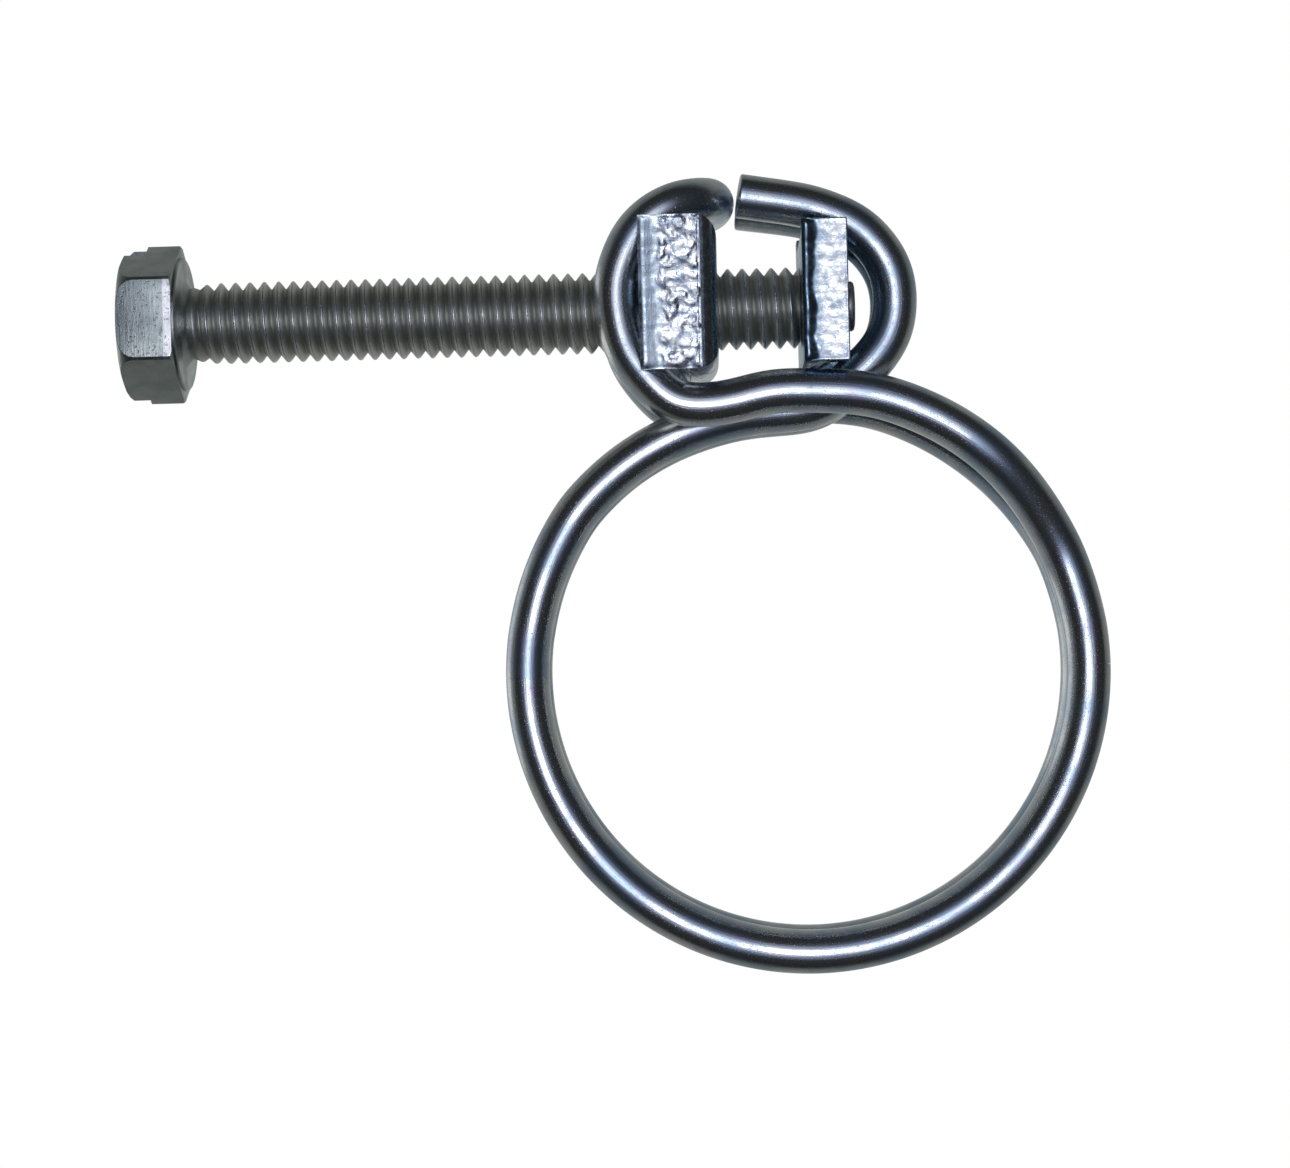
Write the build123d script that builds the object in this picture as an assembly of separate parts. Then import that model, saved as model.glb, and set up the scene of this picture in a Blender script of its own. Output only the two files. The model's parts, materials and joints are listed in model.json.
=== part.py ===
from build123d import *
from math import asin, cos, degrees, pi, radians, sin, sqrt, tan
import os

# Double-wire hose clamp, millimetres. The hose runs along Y through the origin, and the screw
# lies above the ring, along X. Two pairs of wire strands cross over the top of the ring: the
# pair from its right half ends in the left eye, which holds the threaded nut block, and the
# pair from its left half ends in the right eye, which holds the thrust plate. Turned clockwise,
# the screw pushes the eyes apart and the ring closes on the hose.

# --- driving dimensions ---------------------------------------------------------------------
WIRE_R = 1.5
HOSE_R = 17.6                       # free bore of the open ring
RING_R = HOSE_R + WIRE_R            # centre line of the ring
STRAND_Y = 1.65                     # half the spacing of the two strands round the ring
NUT_EYE_Y = 4.9                     # half the spacing of the nut pair, outside the thrust pair
TRAVEL = 10.0                       # how far the screw can push the eyes apart

SCREW_Z = 25.0
NUT_PIVOT_X = -8.3                  # middle of the nut block
THRUST_PIVOT_X = 1.7                # middle of the thrust plate
HINGE_X = (NUT_PIVOT_X + THRUST_PIVOT_X) / 2

THREAD_R = 2.85
THREAD_ROOT_R = 2.3
THREAD_PITCH = 1.0
THREAD_TURNS = 41
SHOULDER_X = 0.13                   # end of the thread, against the thrust plate
TIP_R = 1.7
TIP_END_X = 3.9
PEEN_R = 2.1
PEEN_LENGTH = 0.45
HEAD_FLATS = 9.75
HEAD_CORNERS_R = 5.45
HEAD_FACE_R = 4.7
HEAD_FACE_X = -46.0
HEAD_BACK_X = -42.5
HEAD_CHAMFER = 1.2
WASHER_FACE_R = 4.6
WASHER_FACE_X = -42.1
SLOT_WIDTH = 1.9
SLOT_DEPTH = 1.5
SLOT_LEAN = 5                       # degrees that the slot is turned off upright

RUNNING_GAP = 0.05                  # radial, and beside the shoulder
BLOCK_X = (-10.75, -5.5)
BLOCK_Z = (20.4, 30.7)
BLOCK_Y = 7.2
BLOCK_SEAT_Y = 6.6                  # half the width of the wire seats between the block's lips
PLATE_X = (SHOULDER_X + RUNNING_GAP, 3.25)
PLATE_Z = (20.95, 30.3)
PLATE_Y = 6.5
PLATE_SEAT_Y = 4.75                 # half the width of the wire seats between the plate's lips

# --- the linkage that stands for the springy ring -------------------------------------------
# The two halves of the ring turn about the inner edge of the wire, below the screw's middle.
HINGE_Z = -sqrt(HOSE_R**2 - HINGE_X**2)
HINGE_ANGLE = degrees(asin(-HINGE_X / HOSE_R))      # of that point, off the ring's lowest one
ARM = sqrt((THRUST_PIVOT_X - HINGE_X) ** 2 + (SCREW_Z - HINGE_Z) ** 2)
OPEN_ANGLE = degrees(asin((THRUST_PIVOT_X - HINGE_X) / ARM))
SHUT_ANGLE = degrees(asin((THRUST_PIVOT_X - HINGE_X + TRAVEL / 2) / ARM))
print("hinge at", round(HINGE_X, 4), round(HINGE_Z, 4))
print("each half turns", round(SHUT_ANGLE - OPEN_ANGLE, 4), "degrees, together twice that")


def on_ring(angle, y):
    """A point of the ring's centre line, its angle counted from +X towards +Z."""
    return Vector(RING_R * cos(radians(angle)), y, RING_R * sin(radians(angle)))


def ring_arc(start, end, y):
    """The centre line of one ring strand between two angles."""
    return ThreePointArc(on_ring(start, y), on_ring((start + end) / 2, y), on_ring(end, y))


def bent(points, radii):
    """Straight runs joined by arcs, each arc no larger than its two runs allow."""
    edges = []
    start = points[0]
    for before, corner, after, radius in zip(points, points[1:], points[2:], radii):
        back, on = (before - corner).normalized(), (after - corner).normalized()
        half_turn = radians(180 - back.get_angle(on)) / 2
        room = 0.48 * min((before - corner).length, (after - corner).length)
        radius = min(radius, room / tan(half_turn))
        cut = radius * tan(half_turn)
        middle = corner + (back + on).normalized() * radius * (1 / cos(half_turn) - 1)
        edges.append(Line(start, corner + back * cut))
        edges.append(ThreePointArc(corner + back * cut, middle, corner + on * cut))
        start = corner + on * cut
    return edges + [Line(start, points[-1])]


def sweep_wire(edges):
    """A round wire along edges that follow one another."""
    path = Wire(edges)
    start = path.position_at(0)
    section = Plane(origin=start, z_dir=path.tangent_at(0)) * Circle(WIRE_R)
    solid = sweep(section, path=path)
    print("wire length", round(path.length, 2), "volume off by",
          round(solid.volume / (pi * WIRE_R**2 * path.length) - 1, 4))
    return solid


# --- the wire -------------------------------------------------------------------------------
SPLIT = -90 - HINGE_ANGLE           # where the two halves of the ring meet
NUT_LEAVES = 18                     # the nut pair starts to spread here, degrees from +X
THRUST_LEAVES = 150                 # the thrust pair leaves the circle here
RING_STEP = 12                      # angle between the corners that follow the ring on from there


def beside_ring(angle, off, y):
    """A corner of the wire's path near the ring, a little off its centre line."""
    reach = RING_R / cos(radians(RING_STEP / 2)) + off
    return Vector(reach * cos(radians(angle)), y, reach * sin(radians(angle)))


def nut_strand_points():
    """Corners and radii of one nut strand, from the ring to the hairpin above the block."""
    first = NUT_LEAVES + RING_STEP / 2
    spread = [
        (beside_ring(first, 0, STRAND_Y), RING_R),
        (beside_ring(first + RING_STEP, 0, 2.9), RING_R),
        (beside_ring(first + 2 * RING_STEP, 0, 4.5), RING_R),
        (beside_ring(first + 3 * RING_STEP, 0, NUT_EYE_Y), RING_R),
    ]
    crossing = [
        (Vector(4.9, NUT_EYE_Y, 18.7), 14),
        (Vector(-2.0, NUT_EYE_Y, 19.0), 8),
        (Vector(-4.9, NUT_EYE_Y, 18.2), 6),
        (Vector(-8.7, NUT_EYE_Y, 17.95), 3.2),
    ]
    eye = [
        (Vector(-11.9, NUT_EYE_Y, 21.9), 5),
        (Vector(-12.6, NUT_EYE_Y, 26.4), 5.5),
        (Vector(-10.9, NUT_EYE_Y, 30.3), 4.5),
        (Vector(-8.3, 4.75, 31.85), 3),
        (Vector(-5.7, 2.9, 32.3), 2.6),
    ]
    return spread + crossing + eye


def flipped(point):
    return Vector(point.X, -point.Y, point.Z)


def nut_side_wire():
    """The right half of both ring strands, joined by the hairpin that closes the nut eye."""
    near = nut_strand_points()
    points = [on_ring(NUT_LEAVES, STRAND_Y)] + [p for p, r in near]
    points += [flipped(p) for p in reversed(points)]
    radii = [r for p, r in near]
    radii += list(reversed(radii))
    return sweep_wire([
        ring_arc(SPLIT, NUT_LEAVES, STRAND_Y), *bent(points, radii),
        ring_arc(NUT_LEAVES, SPLIT, -STRAND_Y),
    ])


def thrust_side_strand():
    """The left half of one ring strand, which passes inside the nut pair and ends cut square."""
    first = THRUST_LEAVES - RING_STEP / 2
    bends = [
        (beside_ring(first, 0, STRAND_Y), RING_R),
        (beside_ring(first - RING_STEP, -0.25, STRAND_Y), RING_R),
        (beside_ring(first - 2 * RING_STEP, -0.6, STRAND_Y), RING_R),
        (Vector(-4.6, STRAND_Y, 17.65), 20),
        (Vector(1.35, STRAND_Y, 17.9), 4),
        (Vector(6.3, STRAND_Y, 22.5), 5),
        (Vector(6.45, 1.9, 27.3), 5),
        (Vector(4.25, 2.3, 30.3), 5),
        (Vector(0.9, 2.65, 31.65), 8),
    ]
    end = Vector(-3.95, 3.0, 32.4)
    points = [on_ring(THRUST_LEAVES, STRAND_Y)] + [p for p, r in bends] + [end]
    run = bent(points, [r for p, r in bends])
    return sweep_wire([ring_arc(SPLIT + 360, THRUST_LEAVES, STRAND_Y), *run])


def thrust_side_wire():
    strand = thrust_side_strand()
    return Compound(children=[*strand.solids(), *mirror(strand, about=Plane.XZ).solids()])


# --- the pieces on the screw ----------------------------------------------------------------
SCREW_AXIS = Plane(origin=(0, 0, SCREW_Z), x_dir=(1, 0, 0), z_dir=(0, -1, 0))
ALONG_SCREW = Axis((0, 0, SCREW_Z), (1, 0, 0))


def rod(start, end, radius):
    """A cylinder on the screw's axis."""
    plane = Plane(origin=(start, 0, SCREW_Z), z_dir=(1, 0, 0))
    return extrude(plane * Circle(radius), end - start)


def plate_of(outline, y_low, y_high):
    """A slab with its outline in X and Z, between two depths."""
    plane = Plane(origin=(0, y_high, 0), x_dir=(1, 0, 0), z_dir=(0, -1, 0))
    return extrude(plane * make_face(Polyline(*outline, close=True)), y_high - y_low)


def nut_block():
    """The thick block in the nut eye: cut back where the wire bends round it, but for two lips."""
    low, high = BLOCK_X
    bottom, top = BLOCK_Z
    lips = plate_of([(low, bottom), (high - 0.3, bottom), (high, bottom + 0.3), (high, top - 1.2),
                     (high - 1.2, top), (low, top)], -BLOCK_Y, BLOCK_Y)
    lower_seat = [(low - 1, bottom - 1), (low + 3.2, bottom - 1), (low + 3.2, bottom),
                  (low + 0.1, bottom + 4.5), (low - 1, bottom + 4.5)]
    upper_seat = [(low - 1, top + 1), (low - 1, top - 4.2), (low + 0.1, top - 4.2),
                  (low + 2.8, top - 0.65), (high + 1, top - 0.65), (high + 1, top + 1)]
    back_seat = [(low - 1, bottom + 4.4), (low + 0.1, bottom + 4.4), (low + 0.1, top - 4.1),
                 (low - 1, top - 4.1)]
    for seat in (lower_seat, upper_seat, back_seat):
        lips -= plate_of(seat, -BLOCK_SEAT_Y, BLOCK_SEAT_Y)
    return lips - rod(low - 1, high + 1, THREAD_R + RUNNING_GAP)


def thrust_plate():
    """The plate in the thrust eye, with a seat for the wires across its back, between two lips."""
    low, high = PLATE_X
    bottom, top = PLATE_Z
    plate = plate_of([(low, bottom), (high, bottom), (high, top), (low, top)], -PLATE_Y, PLATE_Y)
    lower_seat = [(low + 0.2, bottom - 1), (high + 1, bottom - 1), (high + 1, bottom + 1.7),
                  (high, bottom + 1.7), (low + 0.2, bottom)]
    upper_seat = [(low - 1, top + 1), (low - 1, top - 0.8), (low, top - 0.8), (low + 1.2, top - 1.2),
                  (high, top - 2.4), (high + 1, top - 2.4), (high + 1, top + 1)]
    for seat in (lower_seat, upper_seat):
        plate -= plate_of(seat, -PLATE_SEAT_Y, PLATE_SEAT_Y)
    return plate - rod(low - 1, high + 1, TIP_R + RUNNING_GAP)


def screw():
    """The slotted hexagon screw: head, washer face, thread, and a thin tip with a peened end."""
    corner = (HEAD_CORNERS_R - HEAD_FACE_R, HEAD_CHAMFER)
    blank = revolve(SCREW_AXIS * make_face(Polyline(
        (HEAD_FACE_X, 0), (HEAD_FACE_X, HEAD_FACE_R), (HEAD_FACE_X + corner[1], HEAD_CORNERS_R),
        (HEAD_BACK_X - 0.2, HEAD_CORNERS_R), (HEAD_BACK_X, HEAD_CORNERS_R - 0.35),
        (HEAD_BACK_X, 0), close=True)), axis=ALONG_SCREW)
    side = HEAD_FLATS / 2 / cos(radians(30))
    # one flat faces -Y, so two corners point up and down
    hexagon = Plane(origin=(HEAD_FACE_X, 0, SCREW_Z), x_dir=(0, 0, 1), z_dir=(1, 0, 0))
    head = blank & extrude(hexagon * RegularPolygon(side, 6), HEAD_BACK_X - HEAD_FACE_X)
    slot = Pos(HEAD_FACE_X + SLOT_DEPTH / 2 - 1, 0, SCREW_Z) * Rot(SLOT_LEAN, 0, 0) * Box(
        SLOT_DEPTH + 2, SLOT_WIDTH, 14)
    head -= slot
    head += rod(HEAD_BACK_X, WASHER_FACE_X, WASHER_FACE_R)
    first = SHOULDER_X - THREAD_TURNS * THREAD_PITCH
    profile = [(WASHER_FACE_X - 0.2, 0), (WASHER_FACE_X - 0.2, THREAD_ROOT_R)]
    for turn in range(THREAD_TURNS):
        crest = first + (turn + 0.5) * THREAD_PITCH
        profile += [(crest - 0.45, THREAD_ROOT_R), (crest - 0.06, THREAD_R),
                    (crest + 0.06, THREAD_R), (crest + 0.45, THREAD_ROOT_R)]
    profile += [(SHOULDER_X, THREAD_ROOT_R), (SHOULDER_X, TIP_R),
                (TIP_END_X - PEEN_LENGTH, TIP_R), (TIP_END_X - PEEN_LENGTH, PEEN_R),
                (TIP_END_X - 0.15, PEEN_R), (TIP_END_X, PEEN_R - 0.3), (TIP_END_X, 0)]
    shank = revolve(SCREW_AXIS * make_face(Polyline(*profile, close=True)), axis=ALONG_SCREW)
    return head + shank


PARTS = {
    "wire_nut_side": nut_side_wire,
    "wire_thrust_side": thrust_side_wire,
    "nut_block": nut_block,
    "thrust_plate": thrust_plate,
    "screw": screw,
}

os.makedirs("parts", exist_ok=True)
for name, make in PARTS.items():
    export_step(make(), f"parts/{name}.step")
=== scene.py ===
import json
import math

import bmesh
import bpy
from mathutils import Matrix, Vector, noise
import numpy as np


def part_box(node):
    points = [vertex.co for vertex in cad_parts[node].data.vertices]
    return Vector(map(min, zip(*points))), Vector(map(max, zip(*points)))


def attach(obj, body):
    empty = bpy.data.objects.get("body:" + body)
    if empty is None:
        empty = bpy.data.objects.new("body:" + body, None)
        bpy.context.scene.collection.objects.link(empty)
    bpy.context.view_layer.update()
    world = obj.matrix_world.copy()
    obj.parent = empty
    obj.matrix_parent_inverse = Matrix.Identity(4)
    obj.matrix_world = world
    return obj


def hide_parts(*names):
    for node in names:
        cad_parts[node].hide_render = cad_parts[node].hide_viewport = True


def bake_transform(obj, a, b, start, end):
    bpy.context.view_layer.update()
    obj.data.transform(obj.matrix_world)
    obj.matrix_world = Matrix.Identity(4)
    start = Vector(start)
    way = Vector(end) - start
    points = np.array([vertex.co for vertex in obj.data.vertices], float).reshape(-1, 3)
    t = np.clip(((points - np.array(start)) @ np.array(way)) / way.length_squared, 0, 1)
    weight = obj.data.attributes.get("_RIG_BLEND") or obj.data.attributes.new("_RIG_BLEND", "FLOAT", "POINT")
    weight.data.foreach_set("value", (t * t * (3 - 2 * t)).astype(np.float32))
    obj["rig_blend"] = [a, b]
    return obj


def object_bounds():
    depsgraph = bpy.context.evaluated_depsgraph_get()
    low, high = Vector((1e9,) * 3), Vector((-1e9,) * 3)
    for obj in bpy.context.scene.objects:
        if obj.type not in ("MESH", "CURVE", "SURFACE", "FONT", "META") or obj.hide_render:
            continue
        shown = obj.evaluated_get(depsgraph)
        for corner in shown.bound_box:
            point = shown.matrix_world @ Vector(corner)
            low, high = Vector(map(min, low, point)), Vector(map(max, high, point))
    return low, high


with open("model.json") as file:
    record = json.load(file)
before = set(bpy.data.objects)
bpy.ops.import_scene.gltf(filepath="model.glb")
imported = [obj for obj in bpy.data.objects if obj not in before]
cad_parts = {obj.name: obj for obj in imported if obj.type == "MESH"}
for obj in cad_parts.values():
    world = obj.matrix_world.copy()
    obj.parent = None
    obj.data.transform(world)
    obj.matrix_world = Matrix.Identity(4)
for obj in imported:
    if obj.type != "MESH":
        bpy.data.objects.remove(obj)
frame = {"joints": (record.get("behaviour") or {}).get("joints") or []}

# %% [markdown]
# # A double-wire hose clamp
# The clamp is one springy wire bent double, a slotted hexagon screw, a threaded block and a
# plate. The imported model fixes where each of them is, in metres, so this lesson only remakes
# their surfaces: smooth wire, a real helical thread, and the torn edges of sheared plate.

MM = 0.001
UP = Vector((0, 0, 1))
cad_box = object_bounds()
joints = {joint["name"]: joint for joint in frame["joints"]}
screw_low, screw_high = (Vector(corner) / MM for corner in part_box("screw"))
block_low, block_high = (Vector(corner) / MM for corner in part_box("nut_block"))
plate_low, plate_high = (Vector(corner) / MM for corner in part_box("thrust_plate"))
wire_low, wire_high = (Vector(corner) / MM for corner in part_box("wire_nut_side"))
AXIS_Z = joints["screw_turn"]["pos_m"][2] / MM
print("screw from", [round(x, 2) for x in screw_low], "to", [round(x, 2) for x in screw_high])

# %% [markdown]
# Every piece is drawn in millimetres, because that is how a fitter thinks of it, and scaled to
# metres once, when its mesh is finished. The object itself stays at the origin, unturned, so
# that its place is in its mesh and any pattern on Object coordinates stays put.

# %% Finishing a mesh
def object_of(name, bm):
    """Puts a bmesh in a new object at the origin, and lets the bmesh go."""
    mesh = bpy.data.meshes.new(name)
    bm.to_mesh(mesh)
    bm.free()
    piece = bpy.data.objects.new(name, mesh)
    bpy.context.collection.objects.link(piece)
    return piece


def finished(name, bm, sharp_degrees=35):
    """Turns a bmesh in millimetres into a smooth-shaded object in metres, sharp at its edges."""
    bmesh.ops.transform(bm, matrix=Matrix.Scale(MM, 4), verts=bm.verts)
    for face in bm.faces:
        face.smooth = True
    for edge in bm.edges:
        if len(edge.link_faces) == 2 and edge.calc_face_angle() > math.radians(sharp_degrees):
            edge.smooth = False
    piece = object_of(name, bm)
    print(name, len(piece.data.polygons), "faces")
    return piece

# %% [markdown]
# ## The path of a bent wire
# Wire comes out of a bending machine as straight runs and arcs. A path is therefore a short
# list of corners, each with the radius of its bend. The arcs are sampled closely, and then a
# few passes of averaging soften the places where a run meets an arc, as springy wire does.

# %% Corners to a smooth line
STEP = 0.35                 # between the samples of a line
EASING = 14                 # passes of averaging
HELD = 8                    # samples at each end that averaging leaves alone


def arc_points(centre, start, turn, axis):
    """Points along an arc, a step apart, from start and turned about the axis."""
    spoke = start - centre
    count = max(2, round(spoke.length * abs(turn) / STEP))
    return [centre + Matrix.Rotation(turn * i / count, 3, axis) @ spoke for i in range(count + 1)]


def bent(points, radii):
    """Samples straight runs joined by arcs, each arc no larger than its two runs allow."""
    line = [points[0]]
    for before, corner, after, radius in zip(points, points[1:], points[2:], radii):
        back, on = (before - corner).normalized(), (after - corner).normalized()
        half_turn = (math.pi - back.angle(on)) / 2
        room = 0.48 * min((before - corner).length, (after - corner).length)
        radius = min(radius, room / math.tan(half_turn))
        centre = corner + (back + on).normalized() * radius / math.cos(half_turn)
        start = corner + back * radius * math.tan(half_turn)
        line += arc_points(centre, start, 2 * half_turn, on.cross(back).normalized())
    return line + [points[-1]]


def even(line):
    """The same line with its points an even step apart."""
    lengths = [0.0]
    for a, b in zip(line, line[1:]):
        lengths.append(lengths[-1] + (b - a).length)
    count = round(lengths[-1] / STEP)
    result, at = [], 0
    for i in range(count + 1):
        target = lengths[-1] * i / count
        while at < len(line) - 2 and lengths[at + 1] < target:
            at += 1
        span = lengths[at + 1] - lengths[at]
        share = 0 if span == 0 else (target - lengths[at]) / span
        result.append(line[at].lerp(line[at + 1], min(share, 1)))
    return result


def relaxed(line):
    """Averages each point with its neighbours, except the first and last few."""
    for _ in range(EASING):
        moved = [0.25 * a + 0.5 * b + 0.25 * c for a, b, c in zip(line, line[1:], line[2:])]
        line = line[: HELD + 1] + moved[HELD : len(moved) - HELD] + line[-HELD - 1 :]
    return line

# %% [markdown]
# The wire's own numbers repeat the design: strands of 3 mm wire, a ring whose centre line has
# a radius of 19.1 mm, and two pairs that spread apart just enough to pass one inside the other.

# %% The wire's routes
WIRE_R = 1.5
RING_R = wire_high.x - WIRE_R
STRAND_Y = 1.65             # each strand of the ring, off the middle plane
NUT_EYE_Y = 4.9             # the same for the outer pair, round the block
RING_STEP = 12              # degrees between corners that follow the ring on
NUT_LEAVES = 18             # where each pair leaves the ring, in degrees from +X towards +Z
THRUST_LEAVES = 150
print("ring radius", round(RING_R, 3))


def around(angle, y, reach=RING_R):
    """A point round the hose's axis, its angle counted from +X towards +Z."""
    turned = math.radians(angle)
    return Vector((reach * math.cos(turned), y, reach * math.sin(turned)))


def ring_points(start, end, y):
    """Points on the ring's centre line from one angle to another."""
    count = round(abs(math.radians(end - start)) * RING_R / STEP)
    return [around(start + (end - start) * i / count, y) for i in range(count + 1)]


def beside_ring(angle, off, y):
    """A corner of the path that follows the ring on, a little off its centre line."""
    return around(angle, y, RING_R / math.cos(math.radians(RING_STEP / 2)) + off)


# each corner with the radius of its bend, in the order that the wire meets them
NUT_CORNERS = [
    (beside_ring(NUT_LEAVES + RING_STEP * 0.5, 0, STRAND_Y), RING_R),
    (beside_ring(NUT_LEAVES + RING_STEP * 1.5, 0, 2.9), RING_R),
    (beside_ring(NUT_LEAVES + RING_STEP * 2.5, 0, 4.5), RING_R),
    (beside_ring(NUT_LEAVES + RING_STEP * 3.5, 0, NUT_EYE_Y), RING_R),
    (Vector((4.9, NUT_EYE_Y, 18.7)), 14),
    (Vector((-2.0, NUT_EYE_Y, 19.0)), 8),
    (Vector((-4.9, NUT_EYE_Y, 18.2)), 6),
    (Vector((-8.7, NUT_EYE_Y, 17.95)), 3.2),
    (Vector((-11.9, NUT_EYE_Y, 21.9)), 5),
    (Vector((-12.6, NUT_EYE_Y, 26.4)), 5.5),
    (Vector((-10.9, NUT_EYE_Y, 30.3)), 4.5),
    (Vector((-8.3, 4.75, 31.85)), 3),
    (Vector((-5.7, 2.9, 32.3)), 2.6),
]
THRUST_CORNERS = [
    (beside_ring(THRUST_LEAVES - RING_STEP * 0.5, 0, STRAND_Y), RING_R),
    (beside_ring(THRUST_LEAVES - RING_STEP * 1.5, -0.25, STRAND_Y), RING_R),
    (beside_ring(THRUST_LEAVES - RING_STEP * 2.5, -0.6, STRAND_Y), RING_R),
    (Vector((-4.6, STRAND_Y, 17.65)), 20),
    (Vector((1.35, STRAND_Y, 17.9)), 4),
    (Vector((6.55, STRAND_Y, 22.5)), 5),
    (Vector((6.7, 1.9, 27.3)), 5),
    (Vector((4.25, 2.3, 30.3)), 5),
    (Vector((0.9, 2.65, 31.65)), 8),
]
THRUST_END = Vector((-3.95, 3.0, 32.4))


def mirrored(point):
    """The same point on the far side of the clamp's middle plane."""
    return Vector((point.x, -point.y, point.z))


def nut_route():
    """From the ring's right edge over the crossing, round the eye and back on the other strand."""
    corners = [around(NUT_LEAVES, STRAND_Y)] + [point for point, _ in NUT_CORNERS]
    corners += [mirrored(point) for point in reversed(corners)]
    radii = [radius for _, radius in NUT_CORNERS]
    line = bent(corners, radii + radii[::-1])
    line = (ring_points(0, NUT_LEAVES, STRAND_Y)[:-1] + line
            + ring_points(NUT_LEAVES, 0, -STRAND_Y)[1:])
    return relaxed(even(line))


def thrust_route():
    """From the ring's left edge over the crossing and round the eye to the cut end."""
    corners = [around(THRUST_LEAVES, STRAND_Y), *(point for point, _ in THRUST_CORNERS), THRUST_END]
    line = bent(corners, [radius for _, radius in THRUST_CORNERS])
    return relaxed(even(ring_points(180, THRUST_LEAVES, STRAND_Y)[:-1] + line))

# %% [markdown]
# ## A round bar along a line
# A curve with a bevel would also make a round wire. Here a ring of edges is pulled from point to
# point instead, because that lets every vertex note how far along the wire it is and where round
# it. Those two lengths become the UV map, in millimetres, and the drawing marks follow it.

# %% Pulling a ring of edges along a line
WIRE_SIDES = 44

def add_bar(bm, line, radius, end_bevel=0.0):
    """Adds a closed round bar along the line."""
    layers = bm.verts.layers.float
    far = layers.get("far") or layers.new("far")
    round_it = layers.get("round_it") or layers.new("round_it")
    tangents = [(b - a).normalized() for a, b in zip(line, line[2:])]
    first, last = (line[1] - line[0]).normalized(), (line[-1] - line[-2]).normalized()
    tangents = [first, *tangents, last]
    turn = UP.rotation_difference(tangents[0]).to_matrix()
    side, across = turn @ Vector((1, 0, 0)), turn @ Vector((0, 1, 0))
    place = Matrix.Translation(line[0]) @ turn.to_4x4()
    verts = bmesh.ops.create_circle(bm, segments=WIRE_SIDES, radius=radius, matrix=place)["verts"]
    edges = list({edge for vert in verts for edge in vert.link_edges})
    first_rim, length = edges, 0.0

    def note(ring, centre):
        for vert in ring:
            spoke = vert.co - centre
            vert[far] = length
            angle = math.atan2(spoke.dot(across), spoke.dot(side))
            vert[round_it] = angle % math.tau * radius

    note(verts, line[0])
    for before, point, old, new in zip(line, line[1:], tangents, tangents[1:]):
        length += (point - before).length
        pulled = bmesh.ops.extrude_edge_only(bm, edges=edges)["geom"]
        verts = [item for item in pulled if isinstance(item, bmesh.types.BMVert)]
        edges = [item for item in pulled if isinstance(item, bmesh.types.BMEdge)
                 and all(vert in verts for vert in item.verts)]
        bend = old.rotation_difference(new).to_matrix()
        side, across = bend @ side, bend @ across
        bmesh.ops.translate(bm, verts=verts, vec=point - before)
        bmesh.ops.rotate(bm, verts=verts, cent=point, matrix=bend)
        note(verts, point)
    for rim in (first_rim, edges):
        bmesh.ops.contextual_create(bm, geom=rim)
    if end_bevel:
        bmesh.ops.bevel(bm, geom=edges, offset=end_bevel, segments=3, profile=0.5, affect="EDGES",
                        material=-1, clamp_overlap=True)


def with_wire_uv(bm, radius):
    """Writes the noted lengths to a UV map, unrolled without a jump at the seam."""
    bmesh.ops.recalc_face_normals(bm, faces=bm.faces)
    far, round_it = bm.verts.layers.float["far"], bm.verts.layers.float["round_it"]
    uv = bm.loops.layers.uv.new("along_wire")
    full = math.tau * radius
    for face in bm.faces:
        places = [loop.vert[round_it] for loop in face.loops]
        for loop, place in zip(face.loops, places):
            if max(places) - min(places) > full / 2 and place < full / 2:
                place += full
            loop[uv].uv = (loop.vert[far], place)

# %% [markdown]
# ## The wire in three pieces
# The real wire is one length, and it bends at the bottom when the eyes move apart. Its two upper
# parts hardly change shape, so each rides on its own body, and the lower half of the ring is
# blended between them. The three meet at the ring's left and right edges on the same circle of
# vertices, so no seam shows.

# %% Making the wire
def wire_piece(name, lines, end_bevel=0.0):
    """One object of round wire, with a bar for each line."""
    bm = bmesh.new()
    for line in lines:
        add_bar(bm, line, WIRE_R, end_bevel)
    with_wire_uv(bm, WIRE_R)
    return finished(name, bm)


CUT_END_BEVEL = 0.14
thrust_line = thrust_route()
thrust_pair = [thrust_line, [mirrored(point) for point in thrust_line]]
wire_nut_loop = wire_piece("wire_nut_loop", [nut_route()])
wire_thrust_ends = wire_piece("wire_thrust_ends", thrust_pair, CUT_END_BEVEL)
wire_bow = wire_piece("wire_bow", [ring_points(180, 360, y) for y in (STRAND_Y, -STRAND_Y)])

# %% Fixing the wire to its bodies
BEND_REACH = 14.0           # each side of the hinge that the bend is spread over
bend_at = Vector(joints["ring_bend"]["pos_m"])
reach = Vector((BEND_REACH * MM, 0, 0))
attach(wire_nut_loop, "nut_arm")
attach(wire_thrust_ends, "thrust_arm")
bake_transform(wire_bow, "nut_arm", "thrust_arm", start=bend_at + reach, end=bend_at - reach)
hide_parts("wire_nut_side")
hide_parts("wire_thrust_side")
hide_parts("wire_nut_side", "wire_thrust_side")

# %% [markdown]
# ## The screw's thread
# A screw thread is a zigzag profile turned about the axis while it moves along it. The spin
# operator does exactly this when it is given a step of travel: the whole profile makes one turn
# and moves on by one pitch, so its end lands on its own start and the doubles merge.

# %% Spinning the thread
PITCH = 1.0
THREAD_R = 2.8
ROOT_R = 2.27
SHOULDER_X = 0.13           # the thread ends here, in front of the plate
WASHER_X = -42.28           # and begins here, at the head's washer face
SPIN_STEPS = 72
RUN_OUT = 2.2               # length over which the thread fades in
BLANK_R = 2.52              # of the bar that it fades in from
BLANK_TAPER = 0.08          # how much thinner that is at the head
DENT = 0.10
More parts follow.
